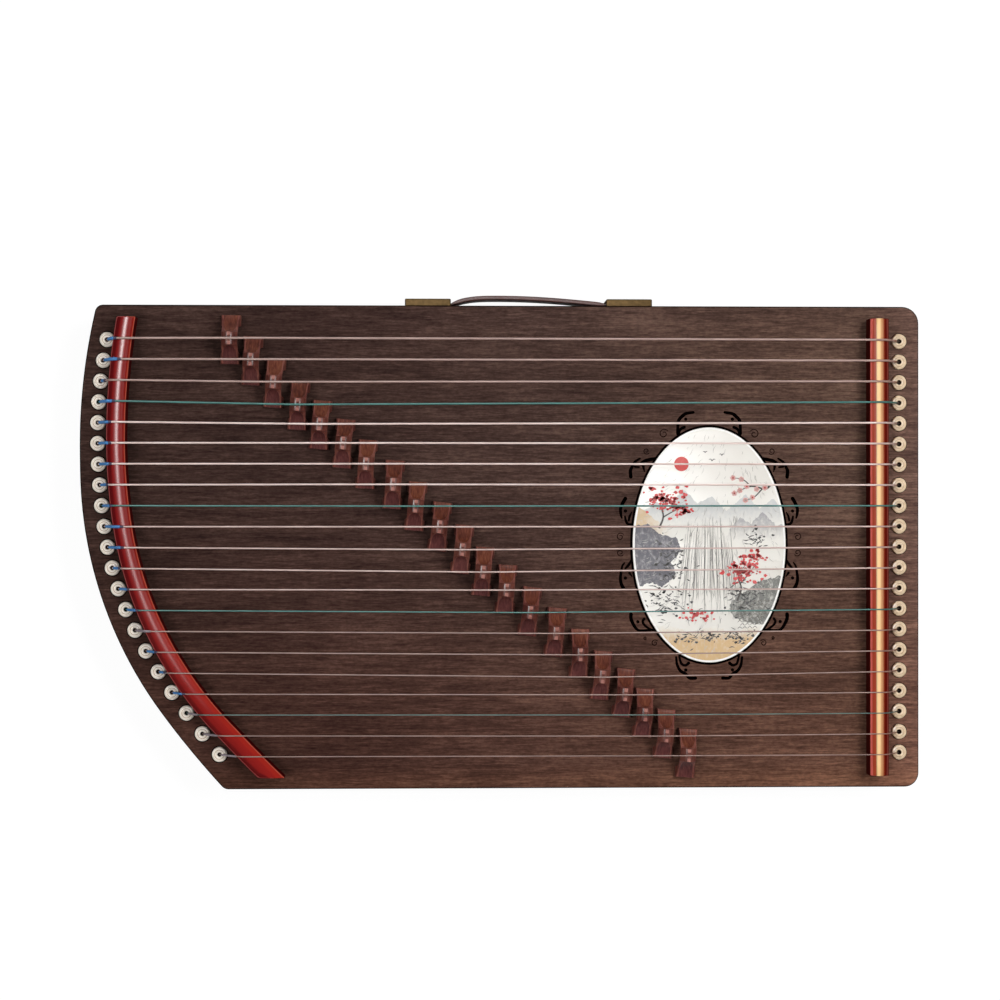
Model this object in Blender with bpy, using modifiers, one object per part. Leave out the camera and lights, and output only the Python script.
"""Guzheng practice board: a hollow wooden board with 21 strings, sliding bridges and tuning pins.

Units are metres. +X runs along the strings from the curved tail to the straight head, +Y from the
player's side to the far side with the carrying handle, and +Z up. The origin is the middle of the
underside. Strings are numbered from the player's side, as on the full-size instrument.
"""

import math

import bmesh
import bpy
from mathutils import Matrix, Vector

# Fits between neighbouring pieces
GLUE_GAP = 0.0003
RUNNING_GAP = 0.0003

# Board and its frame
BOARD_LENGTH = 0.600
BOARD_HEIGHT = 0.045
SIDE_MARGIN = 0.025
SOUNDBOARD_THICKNESS = 0.004
BACK_THICKNESS = 0.003
RAIL_THICKNESS = 0.012
EDGE_ROUNDING = 0.0015
HEAD_FAR_CORNER = 0.012
HEAD_NEAR_CORNER = 0.010
TAIL_FAR_CORNER = 0.0058
TAIL_NEAR_CORNER = 0.0065
TAIL_BLOCK_MARGIN = 0.0145
BRACE_WIDTH = 0.010
BRACE_HEIGHT = 0.018
TAIL_BRACE_X = -0.060
HEAD_BRACE_X = 0.110

# Curved tail. The board's edge, the eyelets and the rear bridge follow curves of their own: one
# radius on the far side of the outermost point, and on the near side arcs that run into each other
# smoothly, each given by the Y where it starts and its radius.
TAIL_FAR_RADIUS = 0.421
TAIL_NEAR_ARCS = ((0.0732, 0.810), (0.0489, 0.297), (-0.1171, 0.621))
TAIL_EYELET_INSET = 0.0130
TAIL_EYELET_FAR_RADIUS = 0.336
TAIL_EYELET_NEAR_ARCS = ((0.0808, 0.475), (0.0087, 0.242), (-0.0777, 0.495))
REAR_BRIDGE_INSET = 0.0273
REAR_BRIDGE_FAR_RADIUS = 0.510
REAR_BRIDGE_NEAR_ARCS = ((0.0768, 0.397), (0.0152, 0.267), (-0.1250, 1.2))
CURVE_STATIONS = 16

# Strings and the anchor rod that holds their tail ends
STRING_COUNT = 21
STRING_PITCH = 0.01475
THICKEST_STRING_RADIUS = 0.0008
THINNEST_STRING_RADIUS = 0.00035
ANCHOR_ROD_RADIUS = 0.002
ANCHOR_ROD_OVERHANG = 0.008
STRING_HOLE_RADIUS = 0.002
STRING_SINK = 0.0003
STRING_BEND = 0.002
STRING_HOLE_SIDES = 6

# Eyelets: round bosses on a carrier strip that lies under the soundboard; an eyelet's radius is
# to its corners
EYELET_RADIUS = 0.0054
EYELET_BORE_RADIUS = 0.0019
EYELET_RIM_RISE = 0.0006
EYELET_RISE = 0.0016
EYELET_CROWN_RADIUS = 0.0038
STRIP_THICKNESS = 0.0012
STRIP_MARGIN = 0.0003
EYELET_SIDES = 10

# Fixed bridges: the curved rear one and the straight front one with its inlaid string rest
BAR_OVERHANG = 0.0155
BAR_HEIGHT = 0.015
BAR_SHOULDER = 0.0115
REAR_BRIDGE_WIDTH = 0.0134
FRONT_BRIDGE_WIDTH = 0.0140
FRONT_BRIDGE_INSET = 0.0311
INLAY_WIDTH = 0.0054
INLAY_DEPTH = 0.005
ARCH_STEPS = 6

# Sliding bridges, each set by hand, from the first string to the last: its string's speaking
# length, how far the bridge pushes the string sideways, and its clockwise turn in degrees
BRIDGE_SETTINGS = (
    (0.1368, 0.0003, 4),
    (0.1527, -0.0005, 5),
    (0.1677, -0.0003, 4),
    (0.1819, -0.0008, 6),
    (0.1979, -0.0030, 5),
    (0.2136, -0.0020, 2),
    (0.2307, -0.0016, 5),
    (0.2490, -0.0016, 7),
    (0.2658, -0.0005, 4),
    (0.2824, -0.0025, 5),
    (0.2971, -0.0015, 6),
    (0.3131, -0.0001, 7),
    (0.3301, -0.0003, 5),
    (0.3460, 0.0003, 4),
    (0.3652, 0.0000, 4),
    (0.3812, -0.0001, 5),
    (0.3979, -0.0015, 5),
    (0.4133, -0.0025, 4),
    (0.4305, -0.0014, 4),
    (0.4464, -0.0003, 3),
    (0.4616, -0.0001, 1),
)
BRIDGE_SPAN = 0.0348
BRIDGE_HEIGHT = 0.0206
BRIDGE_FOOT_WIDTH = 0.0142
BRIDGE_FOOT_LENGTH = 0.0075
BRIDGE_FOOT_EDGE = 0.0040
BRIDGE_LEG_HOLLOW = 0.001
BRIDGE_WAIST_WIDTH = 0.0114
BRIDGE_WAIST_LOW = 0.0080
BRIDGE_WAIST_HEIGHT = 0.0145
BRIDGE_RIDGE_WIDTH = 0.0038
BRIDGE_CROWN_LENGTH = 0.0096
BRIDGE_CROWN_DEPTH = 0.0080
BRIDGE_RIDGE_DEPTH = 0.0014
NOTCH_WIDTH = 0.0028
NOTCH_FOOT_WIDTH = 0.0020
NOTCH_DEPTH = 0.0007
BRIDGE_TRAVEL = 0.0025

# Head block with the tuning trough and its pins
HEAD_BLOCK_WIDTH = 0.056
HEAD_EYELET_INSET = 0.0144
TROUGH_INNER_WALL = 0.006
TROUGH_OUTER_WALL = 0.009
TROUGH_ROOF = 0.0207
TROUGH_OVERHANG = 0.012
PIN_TO_EYELET = 0.0216
PIN_RADIUS = 0.0025
PIN_IN_BLOCK = 0.017
PIN_RECESS = 0.003
PIN_SQUARE = 0.0034
PIN_SQUARE_LENGTH = 0.008
PIN_SIDES = 8

# Picture oval on the soundboard
OVAL_X = 0.1488
OVAL_Y = 0.0014
OVAL_HALF_WIDTH = 0.0550
OVAL_HALF_HEIGHT = 0.0842
OVAL_THICKNESS = 0.0006
OVAL_STEPS = 48

# Carrying handle on the far rail
HANDLE_X = 0.0198
STRAP_VISIBLE_LENGTH = 0.112
STRAP_HIDDEN_LENGTH = 0.024
STRAP_THICKNESS = 0.0030
STRAP_END_THICKNESS = 0.0014
STRAP_END_REST = 0.0020
STRAP_WIDTH = 0.020
STRAP_BOW = 0.0049
STRAP_PEAK_SHIFT = -0.021
STRAP_TAIL_FULLNESS = 3.2
STRAP_STEPS = 16
CAP_LENGTH = 0.033
CAP_WIDTH = 0.026
CAP_DEPTH = 0.0058
CAP_WALL = 0.0012
CAP_ROUNDING = 0.0008
CAP_POST_RADIUS = 0.002
CAP_POST_SIDES = 10
CAP_POST_INSET = 0.010
STRAP_SLOT_LENGTH = 0.010

# Places that follow from the sizes above
STRING_SPAN = (STRING_COUNT - 1) * STRING_PITCH
HALF_LENGTH = BOARD_LENGTH / 2
HALF_WIDTH = STRING_SPAN / 2 + SIDE_MARGIN
TOP = BOARD_HEIGHT
BLOCK_TOP = TOP - SOUNDBOARD_THICKNESS - GLUE_GAP
RAIL_BOTTOM = BACK_THICKNESS + GLUE_GAP
SEAT = TOP + GLUE_GAP
EYELET_TOP = TOP + EYELET_RISE
STRING_MOUTH_Z = EYELET_TOP - STRING_SINK
BAR_HALF_LENGTH = STRING_SPAN / 2 + BAR_OVERHANG
HEAD_BLOCK_X = HALF_LENGTH - HEAD_BLOCK_WIDTH
HEAD_EYELET_X = HALF_LENGTH - HEAD_EYELET_INSET
FRONT_BRIDGE_X = HALF_LENGTH - FRONT_BRIDGE_INSET
PIN_X = HEAD_EYELET_X - PIN_TO_EYELET
TROUGH_DEPTH = BLOCK_TOP - TROUGH_ROOF
ROD_GROOVE = 2 * (ANCHOR_ROD_RADIUS + RUNNING_GAP)
ROD_Z = ROD_GROOVE / 2
BRIDGE_REST = BRIDGE_TRAVEL + BRIDGE_RIDGE_WIDTH / 2
CUT_PAST = 0.002


class TailCurve:
    """A line along the tail, from how far its outermost point lies inside the board's and its arcs."""

    def __init__(self, inset, far_radius, near_arcs):
        self.inset = inset
        self.far_radius = far_radius
        self.near_arcs = near_arcs
        self.bulge_y = near_arcs[0][0]

    def place(self, y):
        """The line's X at this Y, and the sine of its slant to the Y axis there."""
        x = self.inset - HALF_LENGTH
        if y > self.bulge_y:
            sine = (y - self.bulge_y) / self.far_radius
            return x + self.far_radius * (1 - math.sqrt(1 - sine**2)), sine
        sine = 0
        ends = [start for start, _ in self.near_arcs[1:]] + [-math.inf]
        for (start, radius), end in zip(self.near_arcs, ends):
            onward = sine + (start - min(start, max(y, end))) / radius
            x += radius * (math.sqrt(1 - sine**2) - math.sqrt(1 - onward**2))
            sine = onward
        return x, sine

    def x(self, y):
        return self.place(y)[0]

    def stretch(self, y):
        """How much longer a cut along X is than one square to the curve."""
        return 1 / math.sqrt(1 - self.place(y)[1] ** 2)

    def offset(self, distance):
        """The parallel curve this far towards the head."""
        near_arcs = [
            (start + distance * self.place(start)[1], radius - distance)
            for start, radius in self.near_arcs
        ]
        return TailCurve(self.inset + distance, self.far_radius - distance, near_arcs)

    def points(self, y_from, y_to):
        """Stations from one height up to another, one of them at the outermost point."""
        near_steps = round(CURVE_STATIONS * (self.bulge_y - y_from) / (y_to - y_from))
        far_steps = CURVE_STATIONS - near_steps
        near = [y_from + (self.bulge_y - y_from) * i / near_steps for i in range(near_steps)]
        far = [self.bulge_y + (y_to - self.bulge_y) * i / far_steps for i in range(far_steps + 1)]
        return [(self.x(y), y) for y in near + far]


BOARD_EDGE = TailCurve(0, TAIL_FAR_RADIUS, TAIL_NEAR_ARCS)
TAIL_EYELET_LINE = TailCurve(TAIL_EYELET_INSET, TAIL_EYELET_FAR_RADIUS, TAIL_EYELET_NEAR_ARCS)
REAR_BRIDGE_LINE = TailCurve(REAR_BRIDGE_INSET, REAR_BRIDGE_FAR_RADIUS, REAR_BRIDGE_NEAR_ARCS)
BLOCK_INNER_LINE = REAR_BRIDGE_LINE.offset(TAIL_BLOCK_MARGIN)


# Layout of the strings


def string_y(number):
    return (number - 1) * STRING_PITCH - STRING_SPAN / 2


def string_radius(number):
    share = (number - 1) / (STRING_COUNT - 1)
    return THINNEST_STRING_RADIUS + share * (THICKEST_STRING_RADIUS - THINNEST_STRING_RADIUS)


def bridge_place(number):
    """Where a sliding bridge stands in plan, and its turn about Z."""
    speaking, push, turn = BRIDGE_SETTINGS[number - 1]
    return FRONT_BRIDGE_X - speaking, string_y(number) + push, -math.radians(turn)


STRING_NUMBERS = range(1, STRING_COUNT + 1)


# Scene, materials and basic solids


def start_scene():
    for obj in list(bpy.data.objects):
        bpy.data.objects.remove(obj, do_unlink=True)
    made = {}
    for name in ("guzheng_practice_board", "cutters"):
        made[name] = bpy.data.collections.new(name)
        bpy.context.scene.collection.children.link(made[name])
    return made["guzheng_practice_board"], made["cutters"]


PARTS, CUTTERS = start_scene()


def material(name, colour, roughness, metallic=0.0):
    made = bpy.data.materials.new(name)
    made.use_nodes = True
    shader = made.node_tree.nodes["Principled BSDF"]
    shader.inputs["Base Color"].default_value = (*colour, 1.0)
    shader.inputs["Roughness"].default_value = roughness
    shader.inputs["Metallic"].default_value = metallic
    return made


DARK_WOOD = material("dark_wood", (0.065, 0.038, 0.030), 0.45)
INNER_WOOD = material("inner_wood", (0.45, 0.30, 0.17), 0.7)
RED_LACQUER = material("red_lacquer", (0.35, 0.018, 0.012), 0.2)
BRIDGE_WOOD = material("bridge_wood", (0.15, 0.045, 0.028), 0.4)
BONE = material("bone", (0.80, 0.55, 0.28), 0.35)
CREAM_PLASTIC = material("cream_plastic", (0.80, 0.68, 0.53), 0.35)
STRING_STEEL = material("string_steel", (0.70, 0.60, 0.56), 0.3, 0.6)
PIN_STEEL = material("pin_steel", (0.55, 0.55, 0.56), 0.3, 1.0)
PRINT_GROUND = material("print_ground", (0.75, 0.72, 0.68), 0.4)
STRAP_LEATHER = material("strap_leather", (0.10, 0.04, 0.03), 0.55)
CAP_BRONZE = material("cap_bronze", (0.07, 0.045, 0.022), 0.4, 0.7)


def add_object(name, data, finish, collection=PARTS):
    obj = bpy.data.objects.new(name, data)
    collection.objects.link(obj)
    if finish:
        data.materials.clear()
        data.materials.append(finish)
    return obj


def baked(obj):
    """The object's evaluated mesh, in world space, with its caps welded on and facing out."""
    bpy.context.view_layer.update()
    graph = bpy.context.evaluated_depsgraph_get()
    mesh = bpy.data.meshes.new_from_object(obj.evaluated_get(graph))
    mesh.transform(obj.matrix_world)
    work = bmesh.new()
    work.from_mesh(mesh)
    bmesh.ops.remove_doubles(work, verts=work.verts, dist=1e-6)
    bmesh.ops.recalc_face_normals(work, faces=work.faces)
    work.to_mesh(mesh)
    work.free()
    bpy.data.objects.remove(obj, do_unlink=True)
    return mesh


def flat_solid(name, outline, bottom, top, finish=None, collection=PARTS):
    """A plate with this outline in plan, between two heights."""
    curve = bpy.data.curves.new(name, "CURVE")
    curve.dimensions = "2D"
    curve.fill_mode = "BOTH"
    curve.extrude = (top - bottom) / 2
    spline = curve.splines.new("POLY")
    spline.points.add(len(outline) - 1)
    for point, (x, y) in zip(spline.points, outline):
        point.co = (x, y, 0, 1)
    spline.use_cyclic_u = True
    drawn = add_object(name + "_outline", curve, None, collection)
    drawn.location.z = (top + bottom) / 2
    return add_object(name, baked(drawn), finish, collection)


def box_mesh(name, low, high):
    mesh = bpy.data.meshes.new(name)
    work = bmesh.new()
    middle = (Vector(low) + Vector(high)) / 2
    size = Vector(high) - Vector(low)
    place = Matrix.Translation(middle) @ Matrix.Diagonal((*size, 1))
    bmesh.ops.create_cube(work, size=1, matrix=place)
    work.to_mesh(mesh)
    work.free()
    return mesh


def turned_mesh(name, centres, outline, sides):
    """Upright turned solids at these places in plan, in one mesh, from (radius, height) pairs that
    go up from the bottom; a radius is to the corners."""
    mesh = bpy.data.meshes.new(name)
    work = bmesh.new()
    angles = [2 * math.pi * k / sides for k in range(sides)]
    for x, y in centres:
        rings = [
            [work.verts.new((x + r * math.sin(a), y + r * math.cos(a), z)) for a in angles]
            for r, z in outline
        ]
        for lower, upper in zip(rings, rings[1:]):
            for k in range(sides):
                work.faces.new((lower[k - 1], upper[k - 1], upper[k], lower[k]))
        work.faces.new(rings[0])
        work.faces.new(rings[-1][::-1])
    work.to_mesh(mesh)
    work.free()
    return mesh


def rods_mesh(name, centres, radius, bottom, top, sides):
    return turned_mesh(name, centres, [(radius, bottom), (radius, top)], sides)


def holes_mesh(name, centres, radius, bottom, top, sides):
    """Cutters for upright holes; the radius is to their flats, so that a round thing fits in."""
    return rods_mesh(name, centres, radius / math.cos(math.pi / sides), bottom, top, sides)


def cutter(name, mesh):
    obj = add_object(name, mesh, None, CUTTERS)
    obj.hide_render = True
    obj.display_type = "WIRE"
    return obj


def combine(obj, other, operation="DIFFERENCE"):
    """Cuts, joins or intersects obj with a helper object from the cutters' collection."""
    modifier = obj.modifiers.new(other.name, "BOOLEAN")
    modifier.operation = operation
    modifier.object = other


def rounded_corner(before, corner, after, radius, steps=5):
    """Points of the arc that rounds a corner of an outline."""
    corner = Vector(corner)
    inward = (Vector(before) - corner).normalized()
    onward = (Vector(after) - corner).normalized()
    half_angle = inward.angle(onward) / 2
    start = corner + inward * radius / math.tan(half_angle)
    end = corner + onward * radius / math.tan(half_angle)
    centre = corner + (inward + onward).normalized() * radius / math.sin(half_angle)
    first, last = start - centre, end - centre
    turn = first.angle_signed(last)
    found = []
    for i in range(steps + 1):
        angle = -turn * i / steps
        spoke = Matrix.Rotation(angle, 2) @ first
        found.append(tuple(centre + spoke))
    return found


# Body


def tail_outline():
    """The board's edge round the tail, from the near side to the far side, corners rounded."""
    line = BOARD_EDGE.points(-HALF_WIDTH, HALF_WIDTH)
    head_near = (HEAD_BLOCK_X, -HALF_WIDTH)
    head_far = (HEAD_BLOCK_X, HALF_WIDTH)
    near = rounded_corner(head_near, line[0], line[1], TAIL_NEAR_CORNER)
    far = rounded_corner(line[-2], line[-1], head_far, TAIL_FAR_CORNER)
    return near + line[1:-1] + far


def head_outline():
    """The board's edge round the head, from the far side to the near side."""
    far, near = (HALF_LENGTH, HALF_WIDTH), (HALF_LENGTH, -HALF_WIDTH)
    return rounded_corner((0, HALF_WIDTH), far, near, HEAD_FAR_CORNER) + rounded_corner(
        far, near, (0, -HALF_WIDTH), HEAD_NEAR_CORNER
    )


def tail_eyelet_places():
    return [(TAIL_EYELET_LINE.x(string_y(n)), string_y(n)) for n in STRING_NUMBERS]


def head_eyelet_places():
    return [(HEAD_EYELET_X, string_y(n)) for n in STRING_NUMBERS]


def round_top_edge(mesh, top, width):
    """Chamfers the outline's upper edge."""
    work = bmesh.new()
    work.from_mesh(mesh)
    rim = [
        edge
        for edge in work.edges
        if edge.calc_face_angle() > 1 and min(v.co.z for v in edge.verts) > top - CUT_PAST / 2
    ]
    bmesh.ops.bevel(work, geom=rim, offset=width, segments=1, affect="EDGES")
    work.to_mesh(mesh)
    work.free()


def make_soundboard():
    board = flat_solid(
        "soundboard", tail_outline() + head_outline(), TOP - SOUNDBOARD_THICKNESS, TOP, DARK_WOOD
    )
    round_top_edge(board.data, TOP, EDGE_ROUNDING)
    places = tail_eyelet_places() + head_eyelet_places()
    holes = holes_mesh(
        "eyelet_holes", places, EYELET_RADIUS + GLUE_GAP, BLOCK_TOP, TOP + CUT_PAST, EYELET_SIDES
    )
    combine(board, cutter("eyelet_holes", holes))


def strip_outline(line_points, half_width):
    """The outline of a strip of this half width along a line that climbs in Y."""
    left, right = [], []
    for i, (x, y) in enumerate(line_points):
        x0, y0 = line_points[max(i - 1, 0)]
        x1, y1 = line_points[min(i + 1, len(line_points) - 1)]
        along = Vector((x1 - x0, y1 - y0)).normalized()
        side = Vector((along.y, -along.x)) * half_width
        right.append((x + side.x, y + side.y))
        left.append((x - side.x, y - side.y))
    return left + right[::-1]


def tail_strip_line(overhang):
    """The eyelet line from a little past the nearest string to a little past the farthest."""
    return TAIL_EYELET_LINE.points(-STRING_SPAN / 2 - overhang, STRING_SPAN / 2 + overhang)


def head_strip_line(overhang):
    ends = (-STRING_SPAN / 2 - overhang, STRING_SPAN / 2 + overhang)
    return [(HEAD_EYELET_X, y) for y in ends]


def cut_strip_seat(block, name, line):
    """The shallow rebate in a block's top that takes an eyelet strip."""
    seat = flat_solid(
        name,
        strip_outline(line, EYELET_RADIUS + STRIP_MARGIN + GLUE_GAP),
        BLOCK_TOP - STRIP_THICKNESS - GLUE_GAP,
        BLOCK_TOP + CUT_PAST,
        collection=CUTTERS,
    )
    combine(block, cutter(name + "_cut", baked(seat)))


def cut_string_holes(block, name, places, bottom):
    top = BLOCK_TOP + CUT_PAST
    holes = holes_mesh(name, places, STRING_HOLE_RADIUS, bottom, top, STRING_HOLE_SIDES)
    combine(block, cutter(name, holes))


def block_edge(gap):
    """The tail block's inner edge, or a line this far off it, from the far side to the near one."""
    line = BLOCK_INNER_LINE.offset(gap)
    inner = HALF_WIDTH - RAIL_THICKNESS
    heights = [inner - 2 * inner * i / CURVE_STATIONS for i in range(CURVE_STATIONS + 1)]
    return [(line.x(y), y) for y in [HALF_WIDTH] + heights + [-HALF_WIDTH]]


def make_tail_block():
    block = flat_solid("tail_block", tail_outline() + block_edge(0), 0, BLOCK_TOP, DARK_WOOD)
    groove = flat_solid(
        "rod_groove",
        strip_outline(tail_strip_line(ANCHOR_ROD_OVERHANG + GLUE_GAP), ROD_GROOVE / 2),
        -CUT_PAST,
        ROD_GROOVE,
        collection=CUTTERS,
    )
    combine(block, cutter("rod_groove_cut", baked(groove)))
    seat_line = tail_strip_line(EYELET_RADIUS + STRIP_MARGIN + GLUE_GAP)
    cut_strip_seat(block, "tail_strip_seat", seat_line)
    cut_string_holes(block, "tail_holes", tail_eyelet_places(), ROD_Z)


def trough_box():
    """The tuning trough in the head block's underside, as its low and high corners."""
    half = STRING_SPAN / 2 + TROUGH_OVERHANG
    low = (HEAD_BLOCK_X + TROUGH_INNER_WALL, -half, -CUT_PAST)
    high = (HALF_LENGTH - TROUGH_OUTER_WALL, half, TROUGH_DEPTH)
    return low, high


def make_head_block():
    outline = head_outline() + [(HEAD_BLOCK_X, -HALF_WIDTH), (HEAD_BLOCK_X, HALF_WIDTH)]
    block = flat_solid("head_block", outline, 0, BLOCK_TOP, DARK_WOOD)
    combine(block, cutter("trough", box_mesh("trough", *trough_box())))
    seat_line = head_strip_line(EYELET_RADIUS + STRIP_MARGIN + GLUE_GAP)
    cut_strip_seat(block, "head_strip_seat", seat_line)
    cut_string_holes(block, "head_holes", head_eyelet_places(), TROUGH_DEPTH - CUT_PAST)
    pin_holes = holes_mesh(
        "pin_holes",
        [(PIN_X, string_y(n)) for n in STRING_NUMBERS],
        PIN_RADIUS + RUNNING_GAP,
        TROUGH_DEPTH - CUT_PAST,
        TROUGH_DEPTH + PIN_IN_BLOCK + GLUE_GAP,
        PIN_SIDES,
    )
    combine(block, cutter("pin_holes", pin_holes))


def make_rails_and_back():
    tail_end = block_edge(GLUE_GAP)
    head_end = HEAD_BLOCK_X - GLUE_GAP
    for name, ends, bottom, top in (
        ("far_rail", tail_end[:2], RAIL_BOTTOM, BLOCK_TOP),
        ("near_rail", tail_end[-2:], RAIL_BOTTOM, BLOCK_TOP),
        ("back_panel", tail_end, 0, BACK_THICKNESS),
    ):
        outline = ends + [(head_end, ends[-1][1]), (head_end, ends[0][1])]
        flat_solid(name, outline, bottom, top, DARK_WOOD)


def make_braces():
    """Two bars that stiffen the soundboard from rail to rail, inside the board."""
    reach = HALF_WIDTH - RAIL_THICKNESS - GLUE_GAP
    for name, x in (("tail_brace", TAIL_BRACE_X), ("head_brace", HEAD_BRACE_X)):
        low = (x - BRACE_WIDTH / 2, -reach, BLOCK_TOP - BRACE_HEIGHT)
        high = (x + BRACE_WIDTH / 2, reach, BLOCK_TOP)
        add_object(name, box_mesh(name, low, high), INNER_WOOD)


# Eyelets


def make_eyelets(name, line, places):
    """A row of eyelets, joined by the hidden strip that seats them in the block."""
    strip = flat_solid(
        name,
        strip_outline(line, EYELET_RADIUS + STRIP_MARGIN),
        BLOCK_TOP - STRIP_THICKNESS,
        BLOCK_TOP,
        CREAM_PLASTIC,
    )
    dome = [
        (EYELET_RADIUS, BLOCK_TOP - STRIP_THICKNESS / 2),
        (EYELET_RADIUS, TOP + EYELET_RIM_RISE),
        (EYELET_CROWN_RADIUS, EYELET_TOP),
    ]
    bosses = turned_mesh(name + "_bosses", places, dome, EYELET_SIDES)
    combine(strip, cutter(name + "_bosses", bosses), "UNION")
    past = EYELET_TOP + CUT_PAST
    bores = holes_mesh(name + "_bores", places, EYELET_BORE_RADIUS, ROD_Z, past, EYELET_SIDES)
    combine(strip, cutter(name + "_bores", bores))


# Fixed bridges


def arch_angles():
    return [math.pi * i / ARCH_STEPS for i in range(ARCH_STEPS + 1)]


def bar_profile(width):
    """Cross-section of a fixed bridge: upright sides and an elliptical top."""
    rise = BAR_HEIGHT - BAR_SHOULDER
    arch = [(width / 2 * math.cos(a), BAR_SHOULDER + rise * math.sin(a)) for a in arch_angles()]
    return [(width / 2, 0)] + arch + [(-width / 2, 0)]


def swept_bar(name, profile, line, finish):
    """A bar of this cross-section along a line on the soundboard."""
    section = bpy.data.curves.new(name + "_section", "CURVE")
    section.dimensions = "2D"
    drawn = section.splines.new("POLY")
    drawn.points.add(len(profile) - 1)
    for point, (x, z) in zip(drawn.points, profile):
        point.co = (x, z, 0, 1)
    drawn.use_cyclic_u = True
    section_object = add_object(name + "_section", section, None, CUTTERS)
    path = bpy.data.curves.new(name + "_path", "CURVE")
    path.dimensions = "3D"
    path.twist_mode = "Z_UP"
    path.bevel_mode = "OBJECT"
    path.bevel_object = section_object
    path.use_fill_caps = True
    spline = path.splines.new("POLY")
    spline.points.add(len(line) - 1)
    for point, (x, y) in zip(spline.points, line):
        point.co = (x, y, 0, 1)
    swept = add_object(name + "_path", path, None)
    swept.location.z = SEAT
    bar = add_object(name, baked(swept), finish)
    bpy.data.objects.remove(section_object, do_unlink=True)
    return bar


def make_rear_bridge():
    past = BAR_HALF_LENGTH + REAR_BRIDGE_WIDTH
    line = REAR_BRIDGE_LINE.points(-past, past)
    bar = swept_bar("rear_bridge", bar_profile(REAR_BRIDGE_WIDTH), line, RED_LACQUER)
    low = (-HALF_LENGTH, -BAR_HALF_LENGTH, 0)
    high = (HALF_LENGTH, BAR_HALF_LENGTH, 2 * BOARD_HEIGHT)
    combine(bar, cutter("rear_bridge_ends", box_mesh("rear_bridge_ends", low, high)), "INTERSECT")


def front_bridge_line():
    return [(FRONT_BRIDGE_X, -BAR_HALF_LENGTH), (FRONT_BRIDGE_X, BAR_HALF_LENGTH)]


def inlay_seat_z():
    return SEAT + BAR_HEIGHT - INLAY_DEPTH


def make_front_bridge():
    bar = swept_bar(
        "front_bridge", bar_profile(FRONT_BRIDGE_WIDTH), front_bridge_line(), RED_LACQUER
    )
    half = INLAY_WIDTH / 2 + GLUE_GAP
    low = (FRONT_BRIDGE_X - half, -BAR_HALF_LENGTH - CUT_PAST, inlay_seat_z() - GLUE_GAP)
    high = (FRONT_BRIDGE_X + half, BAR_HALF_LENGTH + CUT_PAST, SEAT + BAR_HEIGHT + CUT_PAST)
    combine(bar, cutter("inlay_groove", box_mesh("inlay_groove", low, high)))
    inlay = swept_bar("front_inlay", bar_profile(FRONT_BRIDGE_WIDTH), front_bridge_line(), BONE)
    low = (FRONT_BRIDGE_X - INLAY_WIDTH / 2, -BAR_HALF_LENGTH - CUT_PAST, inlay_seat_z())
    high = (FRONT_BRIDGE_X + INLAY_WIDTH / 2, BAR_HALF_LENGTH + CUT_PAST, SEAT + 2 * BAR_HEIGHT)
    combine(inlay, cutter("inlay_bounds", box_mesh("inlay_bounds", low, high)), "INTERSECT")


# Sliding bridges


def bridge_front_outline():
    """Front view, along the strings: two splayed legs, a crown and the string's notch."""
    half_span = BRIDGE_SPAN / 2
    crown = BRIDGE_CROWN_LENGTH / 2
    inner = half_span - BRIDGE_FOOT_LENGTH
    arch_top = BRIDGE_HEIGHT - BRIDGE_CROWN_DEPTH
    shoulder = BRIDGE_WAIST_HEIGHT
    right = [
        (half_span, 0),
        (half_span, BRIDGE_FOOT_EDGE),
        ((half_span + crown) / 2 - BRIDGE_LEG_HOLLOW, (BRIDGE_FOOT_EDGE + shoulder) / 2),
        (crown, shoulder),
        (crown, BRIDGE_HEIGHT - NOTCH_DEPTH),
        (crown - NOTCH_DEPTH, BRIDGE_HEIGHT),
        (NOTCH_WIDTH / 2, BRIDGE_HEIGHT),
        (NOTCH_FOOT_WIDTH / 2, BRIDGE_HEIGHT - NOTCH_DEPTH),
    ]
    arch = [
        (inner * math.cos(math.radians(a)), arch_top * math.sin(math.radians(a)))
        for a in range(180, -1, -30)
    ]
    return right + [(-y, z) for y, z in reversed(right)] + arch


def bridge_side_outline():
    """Side view, across the strings: broad feet, a narrower waist and a thin ridge."""
    foot = BRIDGE_FOOT_WIDTH / 2
    waist = BRIDGE_WAIST_WIDTH / 2
    ridge = BRIDGE_RIDGE_WIDTH / 2
    right = [
        (foot, -CUT_PAST),
        (foot, BRIDGE_FOOT_EDGE / 2),
        (waist, BRIDGE_WAIST_LOW),
        (waist, BRIDGE_WAIST_HEIGHT),
        (ridge, BRIDGE_HEIGHT - BRIDGE_RIDGE_DEPTH),
        (ridge, BRIDGE_HEIGHT + CUT_PAST),
    ]
    return right + [(-x, z) for x, z in reversed(right)]


def upright(mesh, facing):
    """Stands a plan-view plate up: its X and Y become across and up, and Z becomes the facing axis."""
    axes = {
        "X": Matrix(((0, 0, 1, 0), (1, 0, 0, 0), (0, 1, 0, 0), (0, 0, 0, 1))),
        "Y": Matrix(((1, 0, 0, 0), (0, 0, -1, 0), (0, 1, 0, 0), (0, 0, 0, 1))),
    }
    mesh.transform(axes[facing])
    return mesh


def bridge_mesh():
    foot = BRIDGE_FOOT_WIDTH / 2 + CUT_PAST
    front = flat_solid("bridge_front", bridge_front_outline(), -foot, foot, collection=CUTTERS)
    reach = BRIDGE_SPAN / 2 + CUT_PAST
    side = flat_solid("bridge_side", bridge_side_outline(), -reach, reach, collection=CUTTERS)
    blank = add_object("bridge_blank", upright(baked(front), "X"), BRIDGE_WOOD)
    combine(blank, cutter("bridge_taper", upright(baked(side), "Y")), "INTERSECT")
    return baked(blank)


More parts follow.
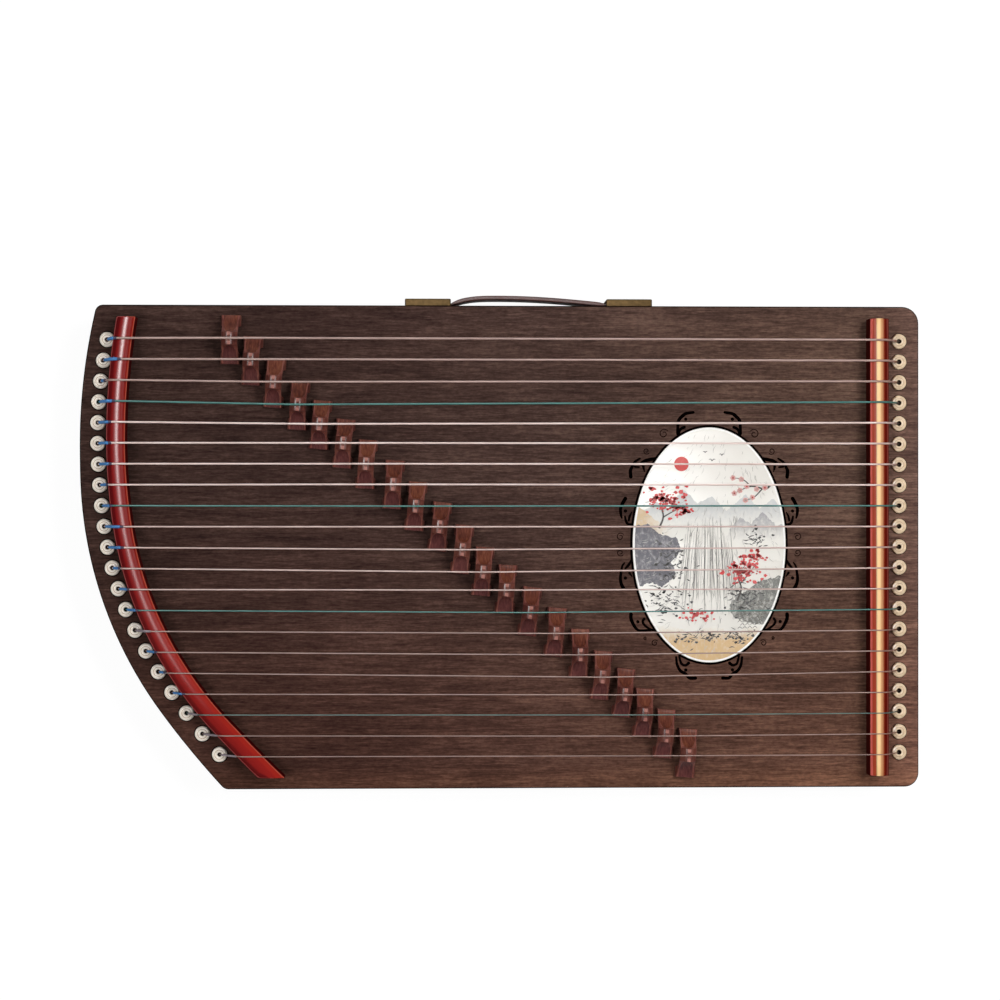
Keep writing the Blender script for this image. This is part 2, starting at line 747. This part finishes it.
def make_sliding_bridges():
    mesh = bridge_mesh()
    for number in STRING_NUMBERS:
        bridge = add_object(f"bridge_{number:02d}", mesh, BRIDGE_WOOD)
        x, y, turn = bridge_place(number)
        bridge.location = (x, y, SEAT)
        bridge.rotation_euler.z = turn


# Tuning pins


def pin_mesh():
    """A round pin with a square head at its lower end, inside the trough."""
    square_top = PIN_RECESS + PIN_SQUARE_LENGTH
    shank = rods_mesh(
        "pin", [(0, 0)], PIN_RADIUS, square_top, TROUGH_DEPTH + PIN_IN_BLOCK, PIN_SIDES
    )
    half_diagonal = PIN_SQUARE / math.sqrt(2)
    square = rods_mesh(
        "pin_square", [(0, 0)], half_diagonal, PIN_RECESS, square_top + CUT_PAST, 4
    )
    pin = add_object("pin_blank", shank, PIN_STEEL)
    combine(pin, cutter("pin_square", square), "UNION")
    return baked(pin)


def make_tuning_pins():
    mesh = pin_mesh()
    for number in STRING_NUMBERS:
        pin = add_object(f"tuning_pin_{number:02d}", mesh, PIN_STEEL)
        pin.location = (PIN_X, string_y(number), 0)


# Strings


def bar_obstacle(x, width, stretch, gap):
    """Points that a string clears as it crosses a fixed bridge."""
    half = (width / 2 + gap) * stretch
    rise = BAR_HEIGHT - BAR_SHOULDER + gap
    foot = SEAT + BAR_SHOULDER
    return [(x + half * math.cos(a), foot + rise * math.sin(a)) for a in arch_angles()]


def taut_line(points):
    """The line a tight string takes over these points: their upper hull, from left to right."""
    hull = []
    for p in sorted(points):
        while len(hull) > 1:
            (ax, az), (bx, bz) = hull[-2:]
            if (bx - ax) * (p[1] - az) < (bz - az) * (p[0] - ax):
                break
            hull.pop()
        hull.append(p)
    return hull


def bend_angles():
    """Quarter turn in which a string leaves its hole for its pin."""
    return [math.pi / 2 * i / 2 for i in range(3)]


def sideways_push(number, along_x):
    """How far the sliding bridge holds its string aside at this X: fully wherever the bridge may
    stand, and not at all at the fixed bridges."""
    x, pushed_y, _ = bridge_place(number)
    rear_x = REAR_BRIDGE_LINE.x(string_y(number))
    if along_x < x:
        share = (along_x - rear_x) / (x - BRIDGE_REST - rear_x)
    else:
        share = (FRONT_BRIDGE_X - along_x) / (FRONT_BRIDGE_X - x - BRIDGE_REST)
    return (pushed_y - string_y(number)) * min(max(share, 0), 1)


def string_points(number):
    """The string's centre line, from the anchor rod up, over the bridges and down to its pin."""
    y, radius = string_y(number), string_radius(number)
    x = bridge_place(number)[0]
    gap = radius + GLUE_GAP
    tail_x = TAIL_EYELET_LINE.x(y)
    rear_x = REAR_BRIDGE_LINE.x(y)
    rest_z = SEAT + BRIDGE_HEIGHT - NOTCH_DEPTH + gap
    stretch = REAR_BRIDGE_LINE.stretch(y)
    span = taut_line(
        [(tail_x, STRING_MOUTH_Z), (HEAD_EYELET_X, STRING_MOUTH_Z)]
        + [(x - BRIDGE_REST, rest_z), (x + BRIDGE_REST, rest_z)]
        + bar_obstacle(rear_x, REAR_BRIDGE_WIDTH, stretch, gap)
        + bar_obstacle(FRONT_BRIDGE_X, FRONT_BRIDGE_WIDTH, 1, gap)
    )
    turn_z = TROUGH_DEPTH - GLUE_GAP
    bend = [(STRING_BEND * (1 - math.cos(a)), STRING_BEND * math.sin(a)) for a in bend_angles()]
    corner = [Vector((HEAD_EYELET_X - back, y, turn_z - down)) for back, down in bend]
    beside_pin = Vector((PIN_X, y + PIN_RADIUS + RUNNING_GAP + radius, turn_z - STRING_BEND))
    line = [Vector((px, y + sideways_push(number, px), pz)) for px, pz in span]
    return [Vector((tail_x, y, ROD_Z))] + line + corner + [beside_pin]


def tubes_mesh(name, paths, sides_setting):
    """Round tubes along several centre lines, each given as (points, radius)."""
    thickest = max(radius for _, radius in paths)
    curve = bpy.data.curves.new(name, "CURVE")
    curve.dimensions = "3D"
    curve.bevel_depth = thickest
    curve.bevel_resolution = sides_setting
    curve.use_fill_caps = True
    for points, radius in paths:
        spline = curve.splines.new("POLY")
        spline.points.add(len(points) - 1)
        for point, place in zip(spline.points, points):
            point.co = (*place, 1)
            point.radius = radius / thickest
    return baked(add_object(name, curve, None, CUTTERS))


def make_strings():
    """All strings, joined at their tail ends by the anchor rod that they hook over."""
    paths = [(string_points(n), string_radius(n)) for n in STRING_NUMBERS]
    strings = add_object("string_set", tubes_mesh("string_tubes", paths, 1), STRING_STEEL)
    rod_line = [Vector((x, y, ROD_Z)) for x, y in tail_strip_line(ANCHOR_ROD_OVERHANG)]
    rod = tubes_mesh("anchor_rod", [(rod_line, ANCHOR_ROD_RADIUS)], 2)
    combine(strings, cutter("anchor_rod", rod), "UNION")


# Picture oval


def make_picture_oval():
    turns = [2 * math.pi * i / OVAL_STEPS for i in range(OVAL_STEPS)]
    outline = [
        (OVAL_X + OVAL_HALF_WIDTH * math.cos(a), OVAL_Y + OVAL_HALF_HEIGHT * math.sin(a))
        for a in turns
    ]
    flat_solid("picture_oval", outline, SEAT, SEAT + OVAL_THICKNESS, PRINT_GROUND)


# Handle


def strap_centre(x):
    """How far the strap's middle stands off the rail at this distance along it."""
    half = STRAP_VISIBLE_LENGTH / 2
    from_peak = x - STRAP_PEAK_SHIFT
    if from_peak < 0:
        swell = 1 - min(-from_peak / (half + STRAP_PEAK_SHIFT), 1) ** STRAP_TAIL_FULLNESS
    else:
        swell = math.cos(math.pi / 2 * min(from_peak / (half - STRAP_PEAK_SHIFT), 1))
    return STRAP_END_REST + STRAP_BOW * swell


def strap_outline():
    """The strap's edge seen from above: thin flat ends in the caps and a bowed band between them."""
    half = STRAP_VISIBLE_LENGTH / 2
    along = [half * (2 * i / STRAP_STEPS - 1) for i in range(STRAP_STEPS + 1)]
    along = [-half - STRAP_HIDDEN_LENGTH] + along + [half + STRAP_HIDDEN_LENGTH]
    outer, inner = [], []
    for i, x in enumerate(along):
        in_cap = i < 2 or i > STRAP_STEPS
        thickness = STRAP_END_THICKNESS if in_cap else STRAP_THICKNESS
        middle = HALF_WIDTH + strap_centre(x)
        outer.append((HANDLE_X + x, middle + thickness / 2))
        inner.append((HANDLE_X + x, middle - thickness / 2))
    return outer + inner[::-1]


def post_x(side):
    return HANDLE_X + side * (STRAP_VISIBLE_LENGTH / 2 + CAP_POST_INSET)


def make_strap():
    middle = BOARD_HEIGHT / 2
    strap = flat_solid(
        "handle_strap",
        strap_outline(),
        middle - STRAP_WIDTH / 2,
        middle + STRAP_WIDTH / 2,
        STRAP_LEATHER,
    )
    half_height = CAP_POST_RADIUS + RUNNING_GAP
    for side, end in ((-1, "tail"), (1, "head")):
        x = post_x(side)
        low = (x - STRAP_SLOT_LENGTH / 2, HALF_WIDTH - CUT_PAST, middle - half_height)
        high = (x + STRAP_SLOT_LENGTH / 2, HALF_WIDTH + 2 * CAP_DEPTH, middle + half_height)
        combine(strap, cutter(f"strap_slot_{end}", box_mesh("strap_slot", low, high)))


def make_handle_cap(side, name):
    """A pressed cap: a shell open towards the rail and the strap, with the post that holds the strap."""
    middle = BOARD_HEIGHT / 2
    mouth = HANDLE_X + side * STRAP_VISIBLE_LENGTH / 2
    end = mouth + side * CAP_LENGTH
    back, front = HALF_WIDTH + GLUE_GAP, HALF_WIDTH + CAP_DEPTH
    low_x, high_x = sorted((mouth, end))
    half = CAP_WIDTH / 2
    cap = add_object(
        name,
        box_mesh(name, (low_x, back, middle - half), (high_x, front, middle + half)),
        CAP_BRONZE,
    )
    rounding = cap.modifiers.new("rounding", "BEVEL")
    rounding.width = CAP_ROUNDING
    rounding.segments = 2
    inner_x = sorted((mouth - side * CUT_PAST, end - side * CAP_WALL))
    low = (inner_x[0], back - CUT_PAST, middle - half + CAP_WALL)
    high = (inner_x[1], front - CAP_WALL, middle + half - CAP_WALL)
    combine(cap, cutter(name + "_hollow", box_mesh(name + "_hollow", low, high)))
    reach = front - CAP_WALL / 2 - back
    post = rods_mesh(name + "_post", [(0, 0)], CAP_POST_RADIUS, 0, reach, CAP_POST_SIDES)
    post.transform(Matrix.Rotation(-math.pi / 2, 4, "X"))
    post.transform(Matrix.Translation((post_x(side), back, middle)))
    combine(cap, cutter(name + "_post", post), "UNION")


def main():
    make_soundboard()
    make_tail_block()
    make_head_block()
    make_rails_and_back()
    make_braces()
    make_eyelets(
        "tail_eyelets", tail_strip_line(EYELET_RADIUS + STRIP_MARGIN), tail_eyelet_places()
    )
    make_eyelets(
        "head_eyelets", head_strip_line(EYELET_RADIUS + STRIP_MARGIN), head_eyelet_places()
    )
    make_rear_bridge()
    make_front_bridge()
    make_sliding_bridges()
    make_tuning_pins()
    make_strings()
    make_picture_oval()
    make_strap()
    make_handle_cap(-1, "handle_cap_tail")
    make_handle_cap(1, "handle_cap_head")


main()
